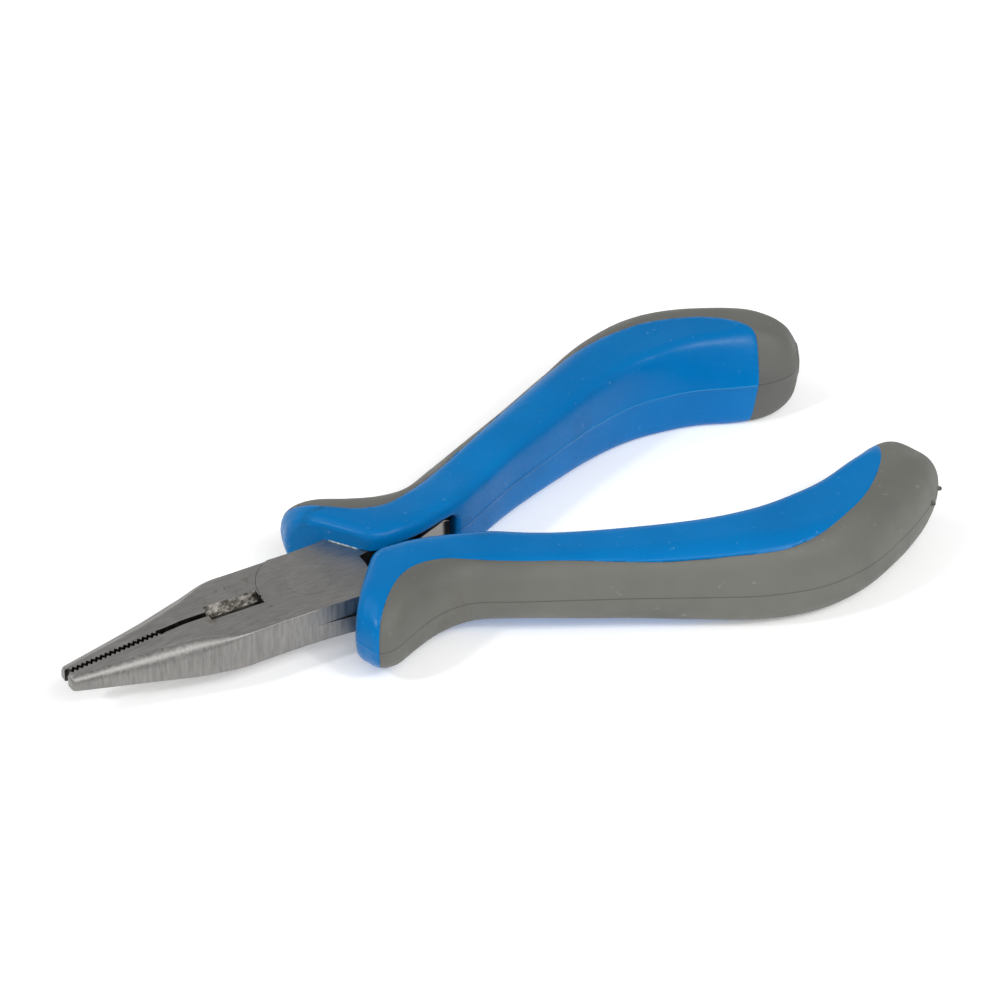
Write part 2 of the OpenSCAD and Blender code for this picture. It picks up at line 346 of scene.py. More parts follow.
def boundary(turned):
    """Plan lines between grip and overmould, below and above the middle as the handle is drawn."""
    top = smooth(SOFT_FRONT + (SOFT_NEAR if turned else SOFT_FAR), LINE_STEPS)
    under = top - np.stack([np.interp(top[:, 0], *UNDER_BACK), np.interp(top[:, 0], *UNDER_IN)], 1)
    for line in (top, under):
        line[:, 0] = drawn_out(line[:, 0], turned)
    # the near handle is drawn upside down
    return (top, under) if turned else (under, top)


def groove(obj, low, high, turned):
    """Presses the skin inwards where the cut wall meets it, so that the two parts meet in a fine groove."""
    bm = bmesh.new()
    bm.from_mesh(obj.data)
    co = (np.array([v.co for v in bm.verts]) - np.array(PIVOT)) / MM
    if turned:
        co = co * [1, -1, -1]
    # each point is compared with the plan line at its own height
    share = (0.5 + co[:, 2] / SOFT_DEPTH / 2)[:, None, None]
    line = low + share * (high - low)
    a, d = line[:, :-1], np.diff(line, axis=1)
    t = ((co[:, None, :2] - a) * d).sum(2) / (d ** 2).sum(2)
    foot = a + np.clip(t, 0, 1)[..., None] * d
    near = np.linalg.norm(co[:, None, :2] - foot, axis=2).min(1) < GROOVE_NEAR
    bm.verts.ensure_lookup_table()
    moves = {}
    for v in bm.verts:
        if near[v.index]:
            skin = [f for f in v.link_faces if not all(near[w.index] for w in f.verts)]
            if skin:
                moves[v] = sum((f.normal for f in skin), Vector()).normalized()
    for v, n in moves.items():
        v.co -= n * GROOVE * MM
    bm.to_mesh(obj.data)
    bm.free()


def rounded_box_ring(x0, x1, half, r):
    """A rectangle with rounded corners, from x0 to x1 and from -half to half."""
    corner_steps, side_steps, long_side = 8, 16, 4
    left, right, top, bottom = x0 + r, x1 - r, half - r, r - half
    ring = []
    for cx, cz, start in ((right, top, 0), (left, top, 90), (left, bottom, 180), (right, bottom, 270)):
        for k in range(corner_steps + 1):
            a = math.radians(start + 90 * k / corner_steps)
            ring.append((cx + r * math.cos(a), cz + r * math.sin(a)))
    # more points along the long sides, so that they can follow the curved wall
    full = []
    for k, (x, z) in enumerate(ring):
        nx, nz = ring[(k + 1) % len(ring)]
        steps = range(side_steps if abs(nx - x) > long_side else 1)
        full += [(x + (nx - x) * j / side_steps, z + (nz - z) * j / side_steps) for j in steps]
    return full


def pocket(name, turned):
    """The shape cut out for the spring, with a mouth that flares where it meets the inner wall."""
    rows = handle_rows(turned, WALL_STEPS)
    rings = []
    # the last ring lies on the pocket's floor
    for grow, depth in POCKET_MOUTH + ((0, None),):
        plan = rounded_box_ring(POCKET_START - grow, POCKET_END + grow, POCKET_H + grow, POCKET_ROUND + grow)
        points = []
        for x, z in plan:
            floor_at = float(np.interp(x, *POCKET_FLOOR))
            if depth is None:
                y = floor_at
            else:
                y = float(np.interp(x, rows[:, 0], rows[:, 1])) + depth
                y = min(y, floor_at) if depth > 0 else y
            points.append((x, y, z))
        rings.append(np.array(points))
    verts, faces = lofted(rings)
    return solid(name, verts, faces, turned)


def handle_parts(side, turned, body):
    """Cuts a whole handle into its hard grip and its soft overmould."""
    whole = handle_mesh(side + "_whole", turned)
    low, high = boundary(turned)
    # the walls are carried on to twice the height where the lines are drawn
    lower = np.concatenate([low + (low - high) / 2, SOFT_REST])
    upper = np.concatenate([high + (high - low) / 2, SOFT_REST])
    zone = leaning_block(side + "_zone", lower, -2 * SOFT_DEPTH, upper, 2 * SOFT_DEPTH, turned)
    slot = pocket(side + "_slot", turned)
    soft = cut(copy_of(whole, side + "_overmould_soft"), zone, "INTERSECT")
    hard = cut(copy_of(whole, side + "_grip_hard"), zone, "DIFFERENCE")
    for o in (soft, hard):
        groove(o, low, high, turned)
    cut(hard, slot, "DIFFERENCE")
    drop(whole, zone, slot)
    for o in (soft, hard):
        shade(o, SHARP_GRIP)
    for o, node, slot_name in ((soft, side + "_overmould", "grey_soft_plastic"),
                               (hard, side + "_grip", "blue_plastic")):
        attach(o, body)
        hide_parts(node)
    return hard, soft


upper_grip, upper_soft = handle_parts("upper", False, "upper_arm")
lower_grip, lower_soft = handle_parts("lower", True, "lower_arm")


# ---------------------------------------------------------------- forged halves

JAW_LEN = 36.7        # from the pivot to the tip
HALF_W = 6.45         # half width of the joint
TIP_W = 2.0           # one jaw's width at the tip, from the middle line
TIP_T = 1.0           # half thickness at the tip
TAPER_RUN = 21.7      # length of the taper, back from the tip
TAPER_IN = 0.15       # how far inside the joint's side that taper starts
SLOPE_START = 19      # distance at which the jaws begin to get thinner
TAPER_BLEND, SLOPE_BLEND = 0.35, 0.08           # softness of the corners where the two start
SWELL, SWELL_FROM, SWELL_OVER = 0.1, 8, 4       # how the sides widen ahead of the joint
JAW_STEP, JAW_STEPS_END = 0.4, 36.2             # sections of a jaw, and where they begin to lie closer
TIP_STATIONS = [36.35, 36.5, 36.6, 36.66, JAW_LEN]
TIP_ROUND = 0.5       # length over which the tip is rounded
TIP_NARROW, TIP_THIN = 0.55, 0.16               # and by how much, sideways and in height
JAW_REACH = 1.2       # how far past the middle line a section goes before the bite is cut
PLAIN_R = 0.2         # rounding of a jaw's edge opposite its shoulder

JAW_GAP = 0.7         # between the jaws at rest
JAW_SKEW = 1.4        # angle between the jaws' middle line and the handles'
TEETH = 20            # on the near jaw, and one fewer on the far one, between them
TOOTH_H = 0.45
TEETH_END = 22        # distance from the pivot at which the teeth stop
FLAT_BACK = 0.1       # how far the flats behind them stand back
CUTTER_EDGE = JAW_GAP / 4                       # how far the cutter's edge stands from the middle line
CUTTER_HALF = 0.3     # its half height
CUTTER_FRONT, CUTTER_END = 14.9, 7              # the distances between which it runs
NOTCH_FRONT, NOTCH_LEN, NOTCH_W = 15.4, 8, 1.5
NOTCH_KNEE = (0.8, 1.3)                         # where its slope changes: sideways, and in height

LAP_FRONT_R, LAP_REAR_R = 7.2, 8.6
LAP_STEPS = 144
LAP_NEAR = 0.02       # points of a lap plate's outline nearer than this are one
LAP_GAP = 0.06        # gap between the two halves' faces
SEAM_GAP = 0.05       # gap round a lap plate
EDGE = 0.12           # rounding of the ground edges
PROUD = 0.004         # keeps faces that are joined from lying exactly in one plane
TANG_INNER = [
    [3, 0], [8.5, 1.5], [10.6, 2], [15, 2.3], [20, 3.2], [24, 4.8],
    [30, 8.6], [40, 13], [52, 17.8], [66, 21.6],
]
TANG_OUTER = [
    [67, 26], [56, 25], [46, 20.6], [36, 15.8], [26, 11], [18, 7.6],
    [10, 7.8], [4, 6.8], [0, HALF_W + PROUD], [-3, HALF_W + PROUD],
]
# Small open nick where a jaw meets the other half's lap plate at the joint's side.
NICK = [(-3.75, -8), (-2.9, -8), (-3.2, -6.1), (-3.42, -6.1)]
NICK_H = 1.2
# Radius of the rounded shoulder along a jaw, by distance from the pivot, and its shape as shares of that.
SHOULDER = (
    (0, 0.12), (11, 0.14), (13, 0.35), (15, 0.95), (17, 1.5), (19, 1.8), (24, 1.9), (30, 1.5), (36.7, 0.95),
)
SHOULDER_WIDE, SHOULDER_DEEP = 1.3, 1.2
SHOULDER_MOST = 1.6       # its greatest depth, as a share of the half thickness
SHOULDER_SPREAD = 0.8     # the radius is averaged with that at this distance on both sides
SHOULDER_STEPS, PLAIN_STEPS = 18, 4

RIVET_SHANK_R, RIVET_HEAD_R, RIVET_HEAD_H = 2.3, 3.2, 1.1
RIVET_PLAY = 0.012
RIVET_SHOWN_R = 3.19  # radius of the head's face, which leaves a hairline round it
AXIS_R = 0.001        # the last ring of a turned part, as good as on the axis
TURNED_STEPS = 96     # points round a turned part


def soft_min(a, b, k):
    """The smaller of two values, with the corner between them rounded over k."""
    h = np.clip(0.5 + 0.5 * (b - a) / k, 0, 1)
    return b + (a - b) * h - k * h * (1 - h)


def jaw_rings(side):
    """Sections of the jaw at +Y from joint to tip. Side is 1 with the shoulder above and -1 with it below."""
    shoulder_d, shoulder_r = np.array(SHOULDER).T
    slope_run = JAW_LEN - SLOPE_START
    rings = []
    for d in np.concatenate([np.arange(0, JAW_STEPS_END, JAW_STEP), TIP_STATIONS]):
        root = HALF_W + SWELL * np.clip((d - SWELL_FROM) / SWELL_OVER, 0, 1) ** 2
        line = TIP_W + (HALF_W - TAPER_IN - TIP_W) * (JAW_LEN - d) / TAPER_RUN
        w = float(soft_min(root, line, TAPER_BLEND))
        sloped = HALF_T - (HALF_T - TIP_T) * (d - SLOPE_START) / slope_run
        t = float(soft_min(HALF_T, sloped, SLOPE_BLEND))
        end = max(0, d - (JAW_LEN - TIP_ROUND)) / TIP_ROUND
        shrink = 1 - math.sqrt(1 - end * end)
        w -= TIP_NARROW * shrink
        t -= TIP_THIN * shrink
        ring = [(-JAW_REACH, -t), (w - PLAIN_R, -t)]
        for k in range(1, PLAIN_STEPS + 1):
            a = math.radians(-90 + 90 * k / PLAIN_STEPS)
            ring.append((w - PLAIN_R + PLAIN_R * math.cos(a), PLAIN_R - t + PLAIN_R * math.sin(a)))
        about = [d - SHOULDER_SPREAD, d, d + SHOULDER_SPREAD]
        r = float(np.interp(about, shoulder_d, shoulder_r).mean())
        wide, deep = SHOULDER_WIDE * r, min(SHOULDER_DEEP * r, SHOULDER_MOST * t)
        for k in range(SHOULDER_STEPS + 1):
            a = math.radians(90 * k / SHOULDER_STEPS)
            ring.append((w - wide + wide * math.cos(a), t - deep + deep * math.sin(a)))
        ring.append((-JAW_REACH, t))
        rings.append(np.array([(-d, y, side * z) for y, z in ring]))
    return rings


def jaw_inner_edge(shift):
    """Plan line of a jaw's biting edge. The shift sets one jaw's teeth between the other's."""
    pitch = (JAW_LEN - TEETH_END) / (TEETH + 1)
    count = TEETH - 1 if shift else TEETH
    line = [(-JAW_LEN - 2, JAW_GAP / 2)]
    for k in range(2 * count + 1):
        height = TOOTH_H if k % 2 == 0 else -TOOTH_H
        line.append((-JAW_LEN + pitch * (k / 2 + 0.25 + shift), (JAW_GAP + height) / 2))
    return line + [
        (-TEETH_END, JAW_GAP / 2 + FLAT_BACK), (-CUTTER_FRONT, JAW_GAP / 2 + FLAT_BACK),
        (-CUTTER_FRONT, CUTTER_EDGE), (-CUTTER_END, CUTTER_EDGE), (0, 0), (3, 0),
    ]


def on_jaw(points, turn):
    """Points drawn for the +Y jaw, placed on the -Y side at the jaws' own angle."""
    p = np.array(points, float) * [1, -1, 1]
    a = math.radians(turn * JAW_SKEW)
    spin = np.array([[math.cos(a), math.sin(a), 0], [-math.sin(a), math.cos(a), 0], [0, 0, 1]])
    return p @ spin


def flat_block(name, outline, z0, z1, turned, bevel=0.0, place=None, free=lambda x, y: True):
    """A block over a plan outline. Its top and bottom edges are broken by a bevel where they are free."""
    points = [(x, y, z0) for x, y in outline] + [(x, y, z1) for x, y in outline]
    if place is not None:
        points = on_jaw(points, place)
    obj = solid(name, points, block_faces(len(outline)), turned)
    if bevel:
        bm = bmesh.new()
        bm.from_mesh(obj.data)
        rims = []
        for e in bm.edges:
            x, y, _ = ((e.verts[0].co + e.verts[1].co) / 2 - PIVOT) / MM
            if abs(e.verts[0].co.z - e.verts[1].co.z) < 1e-7 and free(x, -y if turned else y):
                rims.append(e)
        bmesh.ops.bevel(bm, geom=rims, offset=bevel * MM, offset_type="OFFSET", segments=2, profile=0.5,
                        affect="EDGES", clamp_overlap=True)
        bm.to_mesh(obj.data)
        bm.free()
    return obj


def lap_outline(grow, wide):
    """Plan of a lap plate: a smaller radius ahead of the pivot than behind it, cut off at both sides."""
    line = []
    for k in range(LAP_STEPS + 1):
        a = math.radians(-90 + 360 * k / LAP_STEPS)
        r = (LAP_REAR_R if math.cos(a) > 1e-9 else LAP_FRONT_R) + grow
        line.append((r * math.cos(a), max(-wide, min(wide, r * math.sin(a)))))
    kept = [line[0]]
    for q in line[1:]:
        if math.dist(q, kept[-1]) > LAP_NEAR:
            kept.append(q)
    if math.dist(kept[0], kept[-1]) <= LAP_NEAR:
        kept.pop()
    # points along a straight side are left out
    same = 1e-6
    return [
        q for k, q in enumerate(kept)
        if abs(q[1]) < wide - same or abs(kept[k - 1][1] - q[1]) > same
        or abs(kept[(k + 1) % len(kept)][1] - q[1]) > same
    ]


def lathe(name, upper, turned):
    """A turned part round the pivot, alike at both ends, from (radius, height) pairs of its upper half."""
    turns = [2 * math.pi * k / TURNED_STEPS for k in range(TURNED_STEPS)]
    profile = [(r, -z) for r, z in upper[::-1]] + upper
    rings = [np.array([(r * math.cos(a), r * math.sin(a), z) for a in turns]) for r, z in profile]
    verts, faces = lofted(rings)
    return recalculated(new_mesh(name, to_row(verts, turned), faces))


def forged_half(name, turn, turned):
    """Jaw, lap plate and tang in one piece. Turn is 1 for the near jaw and -1 for the far one."""
    jaw_verts, jaw_faces = lofted(jaw_rings(turn))
    half = solid(name, on_jaw(jaw_verts, turn), jaw_faces, turned)
    half.data.polygons.foreach_set("use_smooth", [True] * len(half.data.polygons))
    # the cutting blocks go well past the steel
    edge = jaw_inner_edge(0.5 if turn < 0 else 0)
    bite = flat_block("bite", edge + [(3, -4), (-JAW_LEN - 2, -4)], -4, 4, turned, place=turn)
    cut(half, bite, "DIFFERENCE")
    flare = (NOTCH_W - CUTTER_EDGE) / (HALF_T - CUTTER_HALF)
    ring = [
        (-1, CUTTER_HALF), (CUTTER_EDGE, CUTTER_HALF), NOTCH_KNEE,
        (NOTCH_W, HALF_T), (NOTCH_W + flare, HALF_T + 1), (-1, HALF_T + 1),
    ]
    for sign in (-1, 1):
        block = [[(x, y, sign * z) for y, z in ring] for x in (-NOTCH_FRONT, NOTCH_LEN - NOTCH_FRONT)]
        verts, faces = lofted([on_jaw(b, turn) for b in block])
        notch = solid("notch", verts, faces, turned)
        cut(half, notch, "DIFFERENCE")
        drop(notch)
    # the edges that lie in the open are broken, and not those inside the joint
    tang = flat_block("tang", TANG_INNER + TANG_OUTER, -HALF_T, HALF_T, turned, EDGE,
                      free=lambda x, y: x > 0 and not (y < 1.4 and x < 8))
    cut(half, tang, "UNION")
    room = flat_block("room", lap_outline(SEAM_GAP, 20), -5, LAP_GAP / 2, turned)
    cut(half, room, "DIFFERENCE")
    plate = flat_block("plate", lap_outline(0, HALF_W - PROUD), LAP_GAP / 2, HALF_T + PROUD, turned, EDGE,
                       free=lambda x, y: (0 < y < 6.2 if x < 0 else y < 1.4))
    cut(half, plate, "UNION")
    nick = flat_block("nick", NICK, -HALF_T - 1, NICK_H - HALF_T, turned)
    cut(half, nick, "DIFFERENCE")
    shank, head = RIVET_SHANK_R + RIVET_PLAY, RIVET_HEAD_R + RIVET_PLAY
    funnel = [(shank, HALF_T - RIVET_HEAD_H - RIVET_PLAY), (head, HALF_T), (head, HALF_T + 1)]
    hole = lathe("hole", funnel, turned)
    cut(half, hole, "DIFFERENCE")
    drop(bite, tang, room, plate, nick, hole)
    return half


upper_steel = forged_half("upper_half_forged", 1, False)
lower_steel = forged_half("lower_half_forged", -1, True)
for o, node, body in ((upper_steel, "upper_half", "upper_arm"), (lower_steel, "lower_half", "lower_arm")):
    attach(o, body)
    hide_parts(node)


# ---------------------------------------------------------------- return spring

LEAF_T, LEAF_W, LEAF_EDGE = 0.42, 4.6, 0.09     # thickness, width, and the bevel along its edges
LEG_LEN, LEG_ANGLE, LEG_POINTS = 8.5, 24.0, 14
BEND_X, BEND_R, CURL_R = 15.9, 0.8, 1.1


def leaf_path():
    """Plan line of the leaf's middle: one curled end, a leg, the round bend, and the same again mirrored."""
    a = math.radians(LEG_ANGLE)
    along, up = np.array([math.cos(a), math.sin(a)]), np.array([-math.sin(a), math.cos(a)])
    start = np.array([BEND_X, 0]) + up * BEND_R
    leg = [start + along * s for s in np.linspace(0, LEG_LEN - CURL_R, LEG_POINTS)]
    middle = leg[-1] - up * CURL_R
    turns = np.radians(np.arange(11, 67, 11))
    curl = [middle + CURL_R * (up * math.cos(t) + along * math.sin(t)) for t in turns]
    bend = [(BEND_X + BEND_R * math.cos(t), BEND_R * math.sin(t)) for t in np.radians(np.arange(126, 181, 9))]
    half = curl[::-1] + leg[::-1] + bend
    return half + [(x, -y) for x, y in half[-2::-1]]


def leaf_spring(name):
    """A strip of constant section with broken edges, swept along its plan line."""
    path = np.array(leaf_path())
    tangent = np.gradient(path, axis=0)
    tangent /= np.linalg.norm(tangent, axis=1)[:, None]
    normal = np.column_stack([-tangent[:, 1], tangent[:, 0]])
    h, w, b = LEAF_T / 2, LEAF_W / 2, LEAF_EDGE
    shape = [
        (h, b - w), (h, w - b), (h - b, w), (b - h, w),
        (-h, w - b), (-h, b - w), (b - h, -w), (h - b, -w),
    ]
    rings = [np.array([(*(q + n * across), z) for across, z in shape]) for q, n in zip(path, normal)]
    verts, faces = lofted(rings)
    obj = recalculated(new_mesh(name, to_row(verts, False), faces))
    obj.data.set_sharp_from_angle(angle=math.radians(35))
    return obj


leaf = leaf_spring("return_spring_leaf")
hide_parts("return_spring")
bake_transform(leaf)


# ---------------------------------------------------------------- flash on the mouldings

FLASH_R, FLASH_Z = 0.12, HALF_T + 0.02
NIB_R, NIB_AIM = 0.3, (80, 17, 0)
NIB_LINE = (-0.3, 0.1, 0.45)      # points of a nib, from inside the skin outwards


def met(obj, start, toward, turned):
    """Where a line from start towards another point first meets a piece, in millimetres round the pivot."""
    a, b = (Vector(q) for q in to_row([start, toward], turned))
    skin = BVHTree.FromObject(obj, bpy.context.evaluated_depsgraph_get())
    hit = np.array((skin.ray_cast(a, (b - a).normalized())[0] - PIVOT) / MM)
    return hit * [1, -1, -1] if turned else hit


def bead(name, line, radius, turned, body, phase):
    """A thin ragged thread of moulding flash along a line."""
    points = smooth(line, 10)
    rings = []
    for k, p in enumerate(points):
        end = math.sin(math.pi * (k + 0.5) / len(points)) ** 0.3
        r = radius * end * (1 + 0.45 * math.sin(1.9 * k + phase) * math.sin(0.7 * k))
        along = points[min(k + 1, len(points) - 1)] - points[max(k - 1, 0)]
        side = np.cross(along, (0, 0, 1))
        side /= np.linalg.norm(side)
        up = np.cross(side, along) / np.linalg.norm(along)
        turns = np.radians(range(0, 360, 45))
        rings.append(np.array([p + r * (side * math.cos(a) + up * math.sin(a)) for a in turns]))
    verts, faces = lofted(rings)
    obj = recalculated(new_mesh(name, to_row(verts, turned), faces))
    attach(obj, body)
    return obj


# flash round the steel at the far guard's front
front = [met(upper_grip, (-6, y, FLASH_Z), (0, y, FLASH_Z), False) for y in (6.45, 5.4, 4.2, 3)]
flash = bead("upper_flash", front, FLASH_R, False, "upper_arm", 0.4)
# two nibs left on the seam at the near handle's end
nibs = []
for name, start in (("lower_nib_outer", (91.4, 25, 0)), ("lower_nib_end", (95, 20.3, 0))):
    skin = met(lower_soft, start, NIB_AIM, True)
    out = np.array(start) - np.array(NIB_AIM)
    out /= np.linalg.norm(out)
    line = [skin + out * s for s in NIB_LINE]
    nibs.append(bead(name, line, NIB_R, True, "lower_arm", 1))


# ---------------------------------------------------------------- rivet

rivet = lathe("pivot_rivet_pin", [
    (RIVET_SHANK_R, HALF_T - RIVET_HEAD_H), (RIVET_SHOWN_R, HALF_T + PROUD), (AXIS_R, HALF_T + PROUD),
], False)
rivet.data.set_sharp_from_angle(angle=math.radians(20))
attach(rivet, "upper_arm")
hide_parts("pivot_rivet")


# ---------------------------------------------------------------- materials

def rgb(r, g, b):
    """An sRGB colour in 0 to 255 as linear values."""
    def one(v):
        v /= 255
        return v / 12.92 if v <= 0.04045 else ((v + 0.055) / 1.055) ** 2.4
    return (one(r), one(g), one(b), 1)


class Nodes:
    """Short words for building one node material."""

    def __init__(self, name):
        self.mat = bpy.data.materials.new(name)
        self.mat.use_nodes = True
        self.tree = self.mat.node_tree
        self.bsdf = self.tree.nodes["Principled BSDF"]
        self.coord = self.tree.nodes.new("ShaderNodeTexCoord").outputs["Object"]

    def node(self, kind, **values):
        n = self.tree.nodes.new("ShaderNode" + kind)
        for k, v in values.items():
            setattr(n, k, v)
        return n

    def link(self, a, b):
        self.tree.links.new(a, b)

    def scaled(self, scale, turn=(0, 0, 0)):
        n = self.node("Mapping")
        n.inputs["Scale"].default_value = scale
        n.inputs["Rotation"].default_value = turn
        self.link(self.coord, n.inputs["Vector"])
        return n.outputs["Vector"]

    def noise(self, scale, detail=3, rough=0.5, vector=None):
        n = self.node("TexNoise")
        n.inputs["Scale"].default_value = scale
        n.inputs["Detail"].default_value = detail
        n.inputs["Roughness"].default_value = rough
        self.link(vector or self.coord, n.inputs["Vector"])
        return n.outputs["Fac"]

    def ramp(self, value, lo, hi, to_lo=0.0, to_hi=1.0):
        """A value between lo and hi, as a smooth step from to_lo to to_hi."""
        n = self.node("MapRange", interpolation_type="SMOOTHSTEP")
        for key, v in (("From Min", lo), ("From Max", hi), ("To Min", to_lo), ("To Max", to_hi)):
            n.inputs[key].default_value = v
        self.link(value, n.inputs["Value"])
        return n.outputs["Result"]

    def math(self, how, a, b):
        n = self.node("Math", operation=how)
        for k, v in ((0, a), (1, b)):
            if isinstance(v, (int, float)):
                n.inputs[k].default_value = v
            else:
                self.link(v, n.inputs[k])
        return n.outputs[0]

    def mix(self, share, a, b):
        n = self.node("Mix", data_type="RGBA")
        for k, v in ((0, share), (6, a), (7, b)):
            if isinstance(v, (tuple, float, int)):
                n.inputs[k].default_value = v
            else:
                self.link(v, n.inputs[k])
        return n.outputs[2]

    def bump(self, height, distance, strength=1.0, below=None):
        n = self.node("Bump")
        n.inputs["Distance"].default_value = distance
        n.inputs["Strength"].default_value = strength
        self.link(height, n.inputs["Height"])
        if below is not None:
            self.link(below, n.inputs["Normal"])
        return n.outputs["Normal"]

    def axis(self, which):
        n = self.node("SeparateXYZ")
        self.link(self.coord, n.inputs[0])
        return n.outputs[which]

    def set(self, **values):
        """Sets inputs of the surface, to a constant or to a node's output."""
        for k, v in values.items():
            socket = self.bsdf.inputs[k.replace("_", " ")]
            if isinstance(v, (int, float, tuple)):
                socket.default_value = v
            else:
                self.link(v, socket)
        return self.mat


def with_seam(m, body, shade_to, start):
    """Draws a hairline at mid height behind start, where the two halves of the mould met."""
    off = m.math("ABSOLUTE", m.math("SUBTRACT", m.axis(2), PIVOT.z), 0)
    x = PIVOT.x + start * MM
    behind = m.ramp(m.axis(0), x, x + 3 * MM)
    return m.mix(m.math("MULTIPLY", m.ramp(off, 0.00006, 0.00013, 0.5, 0), behind), body, shade_to)


def blue_plastic():
    m = Nodes("blue_plastic")
    broad = m.noise(60, 3)
    body = m.mix(m.ramp(broad, 0.3, 0.7), rgb(0, 108, 174), rgb(0, 116, 184))
    # grime near the joint and in long faint smears
    smear = m.noise(1, 4, 0.6, m.scaled((90, 260, 260), (0, 0, 0.4)))
    front = m.ramp(m.axis(0), 0.012, -0.022)
    dirt = m.math("MULTIPLY", m.ramp(smear, 0.56, 0.72), m.math("ADD", 0.12, m.math("MULTIPLY", front, 0.45)))
    body = m.mix(dirt, body, rgb(20, 72, 92))
    speck = m.noise(1500, 2)
    body = m.mix(m.ramp(speck, 0.70, 0.78, 0, 0.35), body, rgb(120, 170, 205))
    rear = m.ramp(m.axis(0), PIVOT.x + 38 * MM, PIVOT.x + 52 * MM)
    body = with_seam(m, body, m.mix(rear, rgb(4, 60, 108), rgb(70, 152, 200)), 22)
    fine = m.noise(2600, 3, 0.55)
    waves = m.noise(160, 2)
    normal = m.bump(waves, 0.00008, 0.5, m.bump(fine, 0.00002, 0.6))
    rough = m.ramp(m.noise(220, 4), 0.3, 0.75, 0.22, 0.38)
    return m.set(Base_Color=body, Roughness=rough, Normal=normal, Specular_IOR_Level=0.13)


def moulding_flash():
    m = Nodes("moulding_flash")
    body = m.mix(m.ramp(m.noise(1400, 4, 0.6), 0.35, 0.6), rgb(72, 92, 98), rgb(196, 204, 202))
    normal = m.bump(m.noise(3000, 3), 0.00004, 0.8)
    rough = m.ramp(m.noise(900, 3), 0.3, 0.7, 0.4, 0.65)
    return m.set(Base_Color=body, Roughness=rough, Normal=normal, Specular_IOR_Level=0.3)


def grey_plastic():
    m = Nodes("grey_soft_plastic")
    broad = m.noise(45, 3)
    body = m.mix(m.ramp(broad, 0.3, 0.7), rgb(94, 94, 90), rgb(107, 107, 101))
    stain = m.noise(140, 5, 0.65)
    body = m.mix(m.ramp(stain, 0.62, 0.74, 0, 0.4), body, rgb(88, 82, 66))
    dust = m.noise(1, 3, 0.6, m.scaled((500, 700, 700)))
    body = m.mix(m.ramp(dust, 0.66, 0.74, 0, 0.35), body, rgb(150, 150, 142))
    body = with_seam(m, body, rgb(52, 50, 44), 0)
    grain = m.noise(2300, 2, 0.6)
    normal = m.bump(m.noise(130, 2), 0.0001, 0.4, m.bump(grain, 0.00005, 0.8))
    rough = m.ramp(m.noise(300, 4), 0.3, 0.75, 0.52, 0.68)
    return m.set(Base_Color=body, Roughness=rough, Normal=normal, Specular_IOR_Level=0.4)


def steel(name, stretch, turn, dark, light, rough_lo, rough_hi, stains=False, painted_shade_from=None):
    """Ground steel, with scratches drawn out along one direction, and painted shade behind a given x, where
    the strip runs into the shadow of its pocket.
    """
    m = Nodes(name)
    lines = m.noise(1, 5, 0.7, m.scaled(stretch, turn))
    deep = m.noise(1, 2, 0.5, m.scaled(tuple(v * 0.35 for v in stretch), turn))
    cloud = m.noise(170, 4, 0.55)
    body = m.mix(m.ramp(lines, 0.25, 0.75), dark, light)
    body = m.mix(m.ramp(cloud, 0.35, 0.75, 0, 0.35), body, dark)
    if stains:
        rust = m.noise(420, 4, 0.7)
        place = m.ramp(m.noise(70, 2), 0.52, 0.68)
        body = m.mix(m.math("MULTIPLY", m.ramp(rust, 0.54, 0.66, 0, 0.5), place), body, rgb(120, 92, 66))
    # painted shade: the strip darkens behind this x, where it runs into the grip's pocket behind the rim
    if painted_shade_from is not None:
        x = PIVOT.x + painted_shade_from * MM
        body = m.mix(m.ramp(m.axis(0), x, x + 0.7 * MM, 0, 0.93), body, rgb(38, 36, 36))
    normal = m.bump(deep, 0.00003, 0.35, m.bump(lines, 0.000012, 0.6))
    rough = m.ramp(m.noise(1, 4, 0.6, m.scaled(stretch, turn)), 0.3, 0.75, rough_lo, rough_hi)
    return m.set(Base_Color=body, Metallic=1.0, Roughness=rough, Normal=normal)


BLUE = blue_plastic()
GREY = grey_plastic()
FACE = steel("ground_face", (350, 5200, 900), (0, 0, -0.15),
             rgb(156, 154, 152), rgb(190, 188, 185), 0.34, 0.46, stains=True)
SIDE = steel("ground_side", (2600, 2600, 240), (0, 0.16, 0),
             rgb(120, 119, 117), rgb(158, 156, 153), 0.42, 0.54)
# the spring's end is darkened as painted shade where it enters the pocket
SPRING = steel("spring_strip", (300, 300, 3800), (0, 0, 0),
               rgb(170, 162, 148), rgb(204, 196, 182), 0.3, 0.42, painted_shade_from=22.2)
ROUGH = steel("ground_cutter", (1300, 1300, 1900), (0, 0, 0),
              rgb(70, 66, 60), rgb(255, 250, 240), 0.25, 0.5)
# dark steel as painted shade, for faces that lie in the shade of gaps, the bite and the joint
PAINTED_SHADE = steel("painted_shade_gap", (900, 900, 900), (0, 0, 0),
             rgb(46, 44, 42), rgb(82, 79, 75), 0.45, 0.65)

for o, mat in ((upper_grip, BLUE), (lower_grip, BLUE), (upper_soft, GREY), (lower_soft, GREY)):
    o.data.materials.clear()
    o.data.materials.append(mat)

FINISHES = (FACE, SIDE, ROUGH, PAINTED_SHADE)
BITE_END, BITE_HALF = 6.9, 1.9    # the bite lies ahead of this distance, within this of the middle line
BITE_INWARD = 0.25                # its faces look inwards by at least this
LEVEL = 0.93                      # a face that looks up or down by more than this is ground flat
SHARP_STEEL = 18


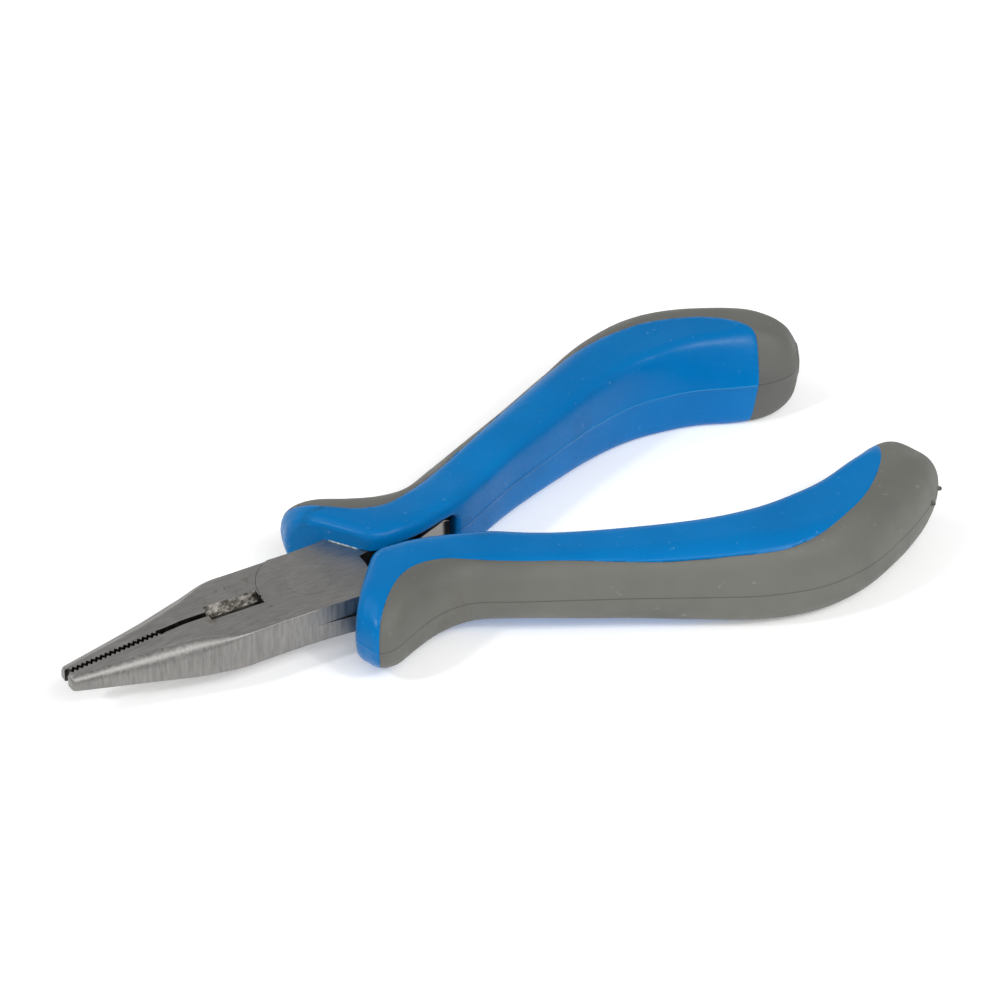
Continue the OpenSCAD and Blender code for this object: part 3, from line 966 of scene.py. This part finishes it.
def steel_finish(x, z, across, inward, normal):
    """The finish of a face at a place round the pivot: ground flat, ground side, rough cutter, or dark steel
    as painted shade.
    """
    in_notch = -NOTCH_FRONT - 0.1 < x < -BITE_END and abs(across) < NOTCH_W + 0.2
    end_wall = abs(normal.x) > 0.7
    # the bite's inward faces and the notch's end walls get the painted shade; only the notch's upper bevel is
    # the rough cutter
    if x < -BITE_END and abs(across) < BITE_HALF and inward > BITE_INWARD or in_notch and end_wall:
        return ROUGH if in_notch and abs(z) > 1.2 and not end_wall else PAINTED_SHADE
    # painted shade inside the joint, and between the tangs
    if x > 3 and (abs(normal.z) > 0.9 and abs(z) < 0.2 or abs(normal.z) < 0.5 and inward > 0 and x < 30):
        return PAINTED_SHADE
    return FACE if abs(normal.z) > LEVEL else SIDE


def paint_steel(obj):
    """Gives each face of a forged half its finish."""
    mesh = obj.data
    mesh.materials.clear()
    for mat in FINISHES:
        mesh.materials.append(mat)
    a = math.radians(JAW_SKEW)
    for f in mesh.polygons:
        x, y, z = (np.array(f.center) - np.array(PIVOT)) / MM
        across = y * math.cos(a) - x * math.sin(a)
        inward = -math.copysign(1, across) * (f.normal.y * math.cos(a) - f.normal.x * math.sin(a))
        f.material_index = FINISHES.index(steel_finish(x, z, across, inward, f.normal))
    shade(obj, SHARP_STEEL)


paint_steel(upper_steel)
paint_steel(lower_steel)
rivet.data.materials.append(FACE)
leaf.data.materials.append(SPRING)
flash.data.materials.append(moulding_flash())
for nib in nibs:
    nib.data.materials.append(GREY)


# ---------------------------------------------------------------- floor, light and camera

floor = new_mesh("floor", [(-3, -3, 0), (3, -3, 0), (3, 3, 0), (-3, 3, 0)], [(0, 1, 2, 3)], False)
floor_mat = Nodes("pale_floor")
floor_mat.set(
    Base_Color=rgb(252, 252, 252), Roughness=0.9, Emission_Color=(1, 1, 1, 1), Emission_Strength=0.22
)
floor.data.materials.append(floor_mat.mat)

world = bpy.data.worlds.new("studio")
bpy.context.scene.world = world
world.use_nodes = True
world.node_tree.nodes["Background"].inputs["Color"].default_value = (1, 1, 1, 1)
world.node_tree.nodes["Background"].inputs["Strength"].default_value = 0.35


# Name, place, point aimed at, width, height and watts.
SOFTBOXES = (
    ("key", (0.05, -0.62, 0.72), (0, 0, 0), 0.9, 0.35, 4.4),
    ("spark", (-0.67, -0.05, 0.62), (0, 0, 0), 0.08, 0.08, 1.7),
    ("spark_near", (0.22, -0.62, 0.66), (0, 0, 0), 0.07, 0.07, 1.2),
    ("backdrop", (0.4, 1.6, 0.28), (0, 0, 0.1), 3.6, 0.7, 7),
    ("fill", (-0.5, 0.3, 0.8), (0, 0, 0), 0.6, 0.6, 1.5),
)
for name, place, aim, width, height, watts in SOFTBOXES:
    light = bpy.data.lights.new(name, "AREA")
    light.shape = "RECTANGLE"
    light.size, light.size_y, light.energy = width, height, watts
    lamp = bpy.data.objects.new(name, light)
    lamp.visible_camera = False
    lamp.location = place
    lamp.rotation_euler = (Vector(aim) - Vector(place)).to_track_quat("-Z", "Y").to_euler()
    bpy.context.scene.collection.objects.link(lamp)

camera_data = bpy.data.cameras.new("camera")
camera_data.sensor_width = 36
camera_data.lens = 216
camera = bpy.data.objects.new("camera", camera_data)
camera.location = (-0.2957, -0.5800, 0.52505)
target = Vector((0.0070, 0.0069, 0.00715))
camera.rotation_euler = (target - camera.location).to_track_quat("-Z", "Y").to_euler()
bpy.context.scene.collection.objects.link(camera)
bpy.context.scene.camera = camera
bpy.context.scene.view_settings.view_transform = "Standard"
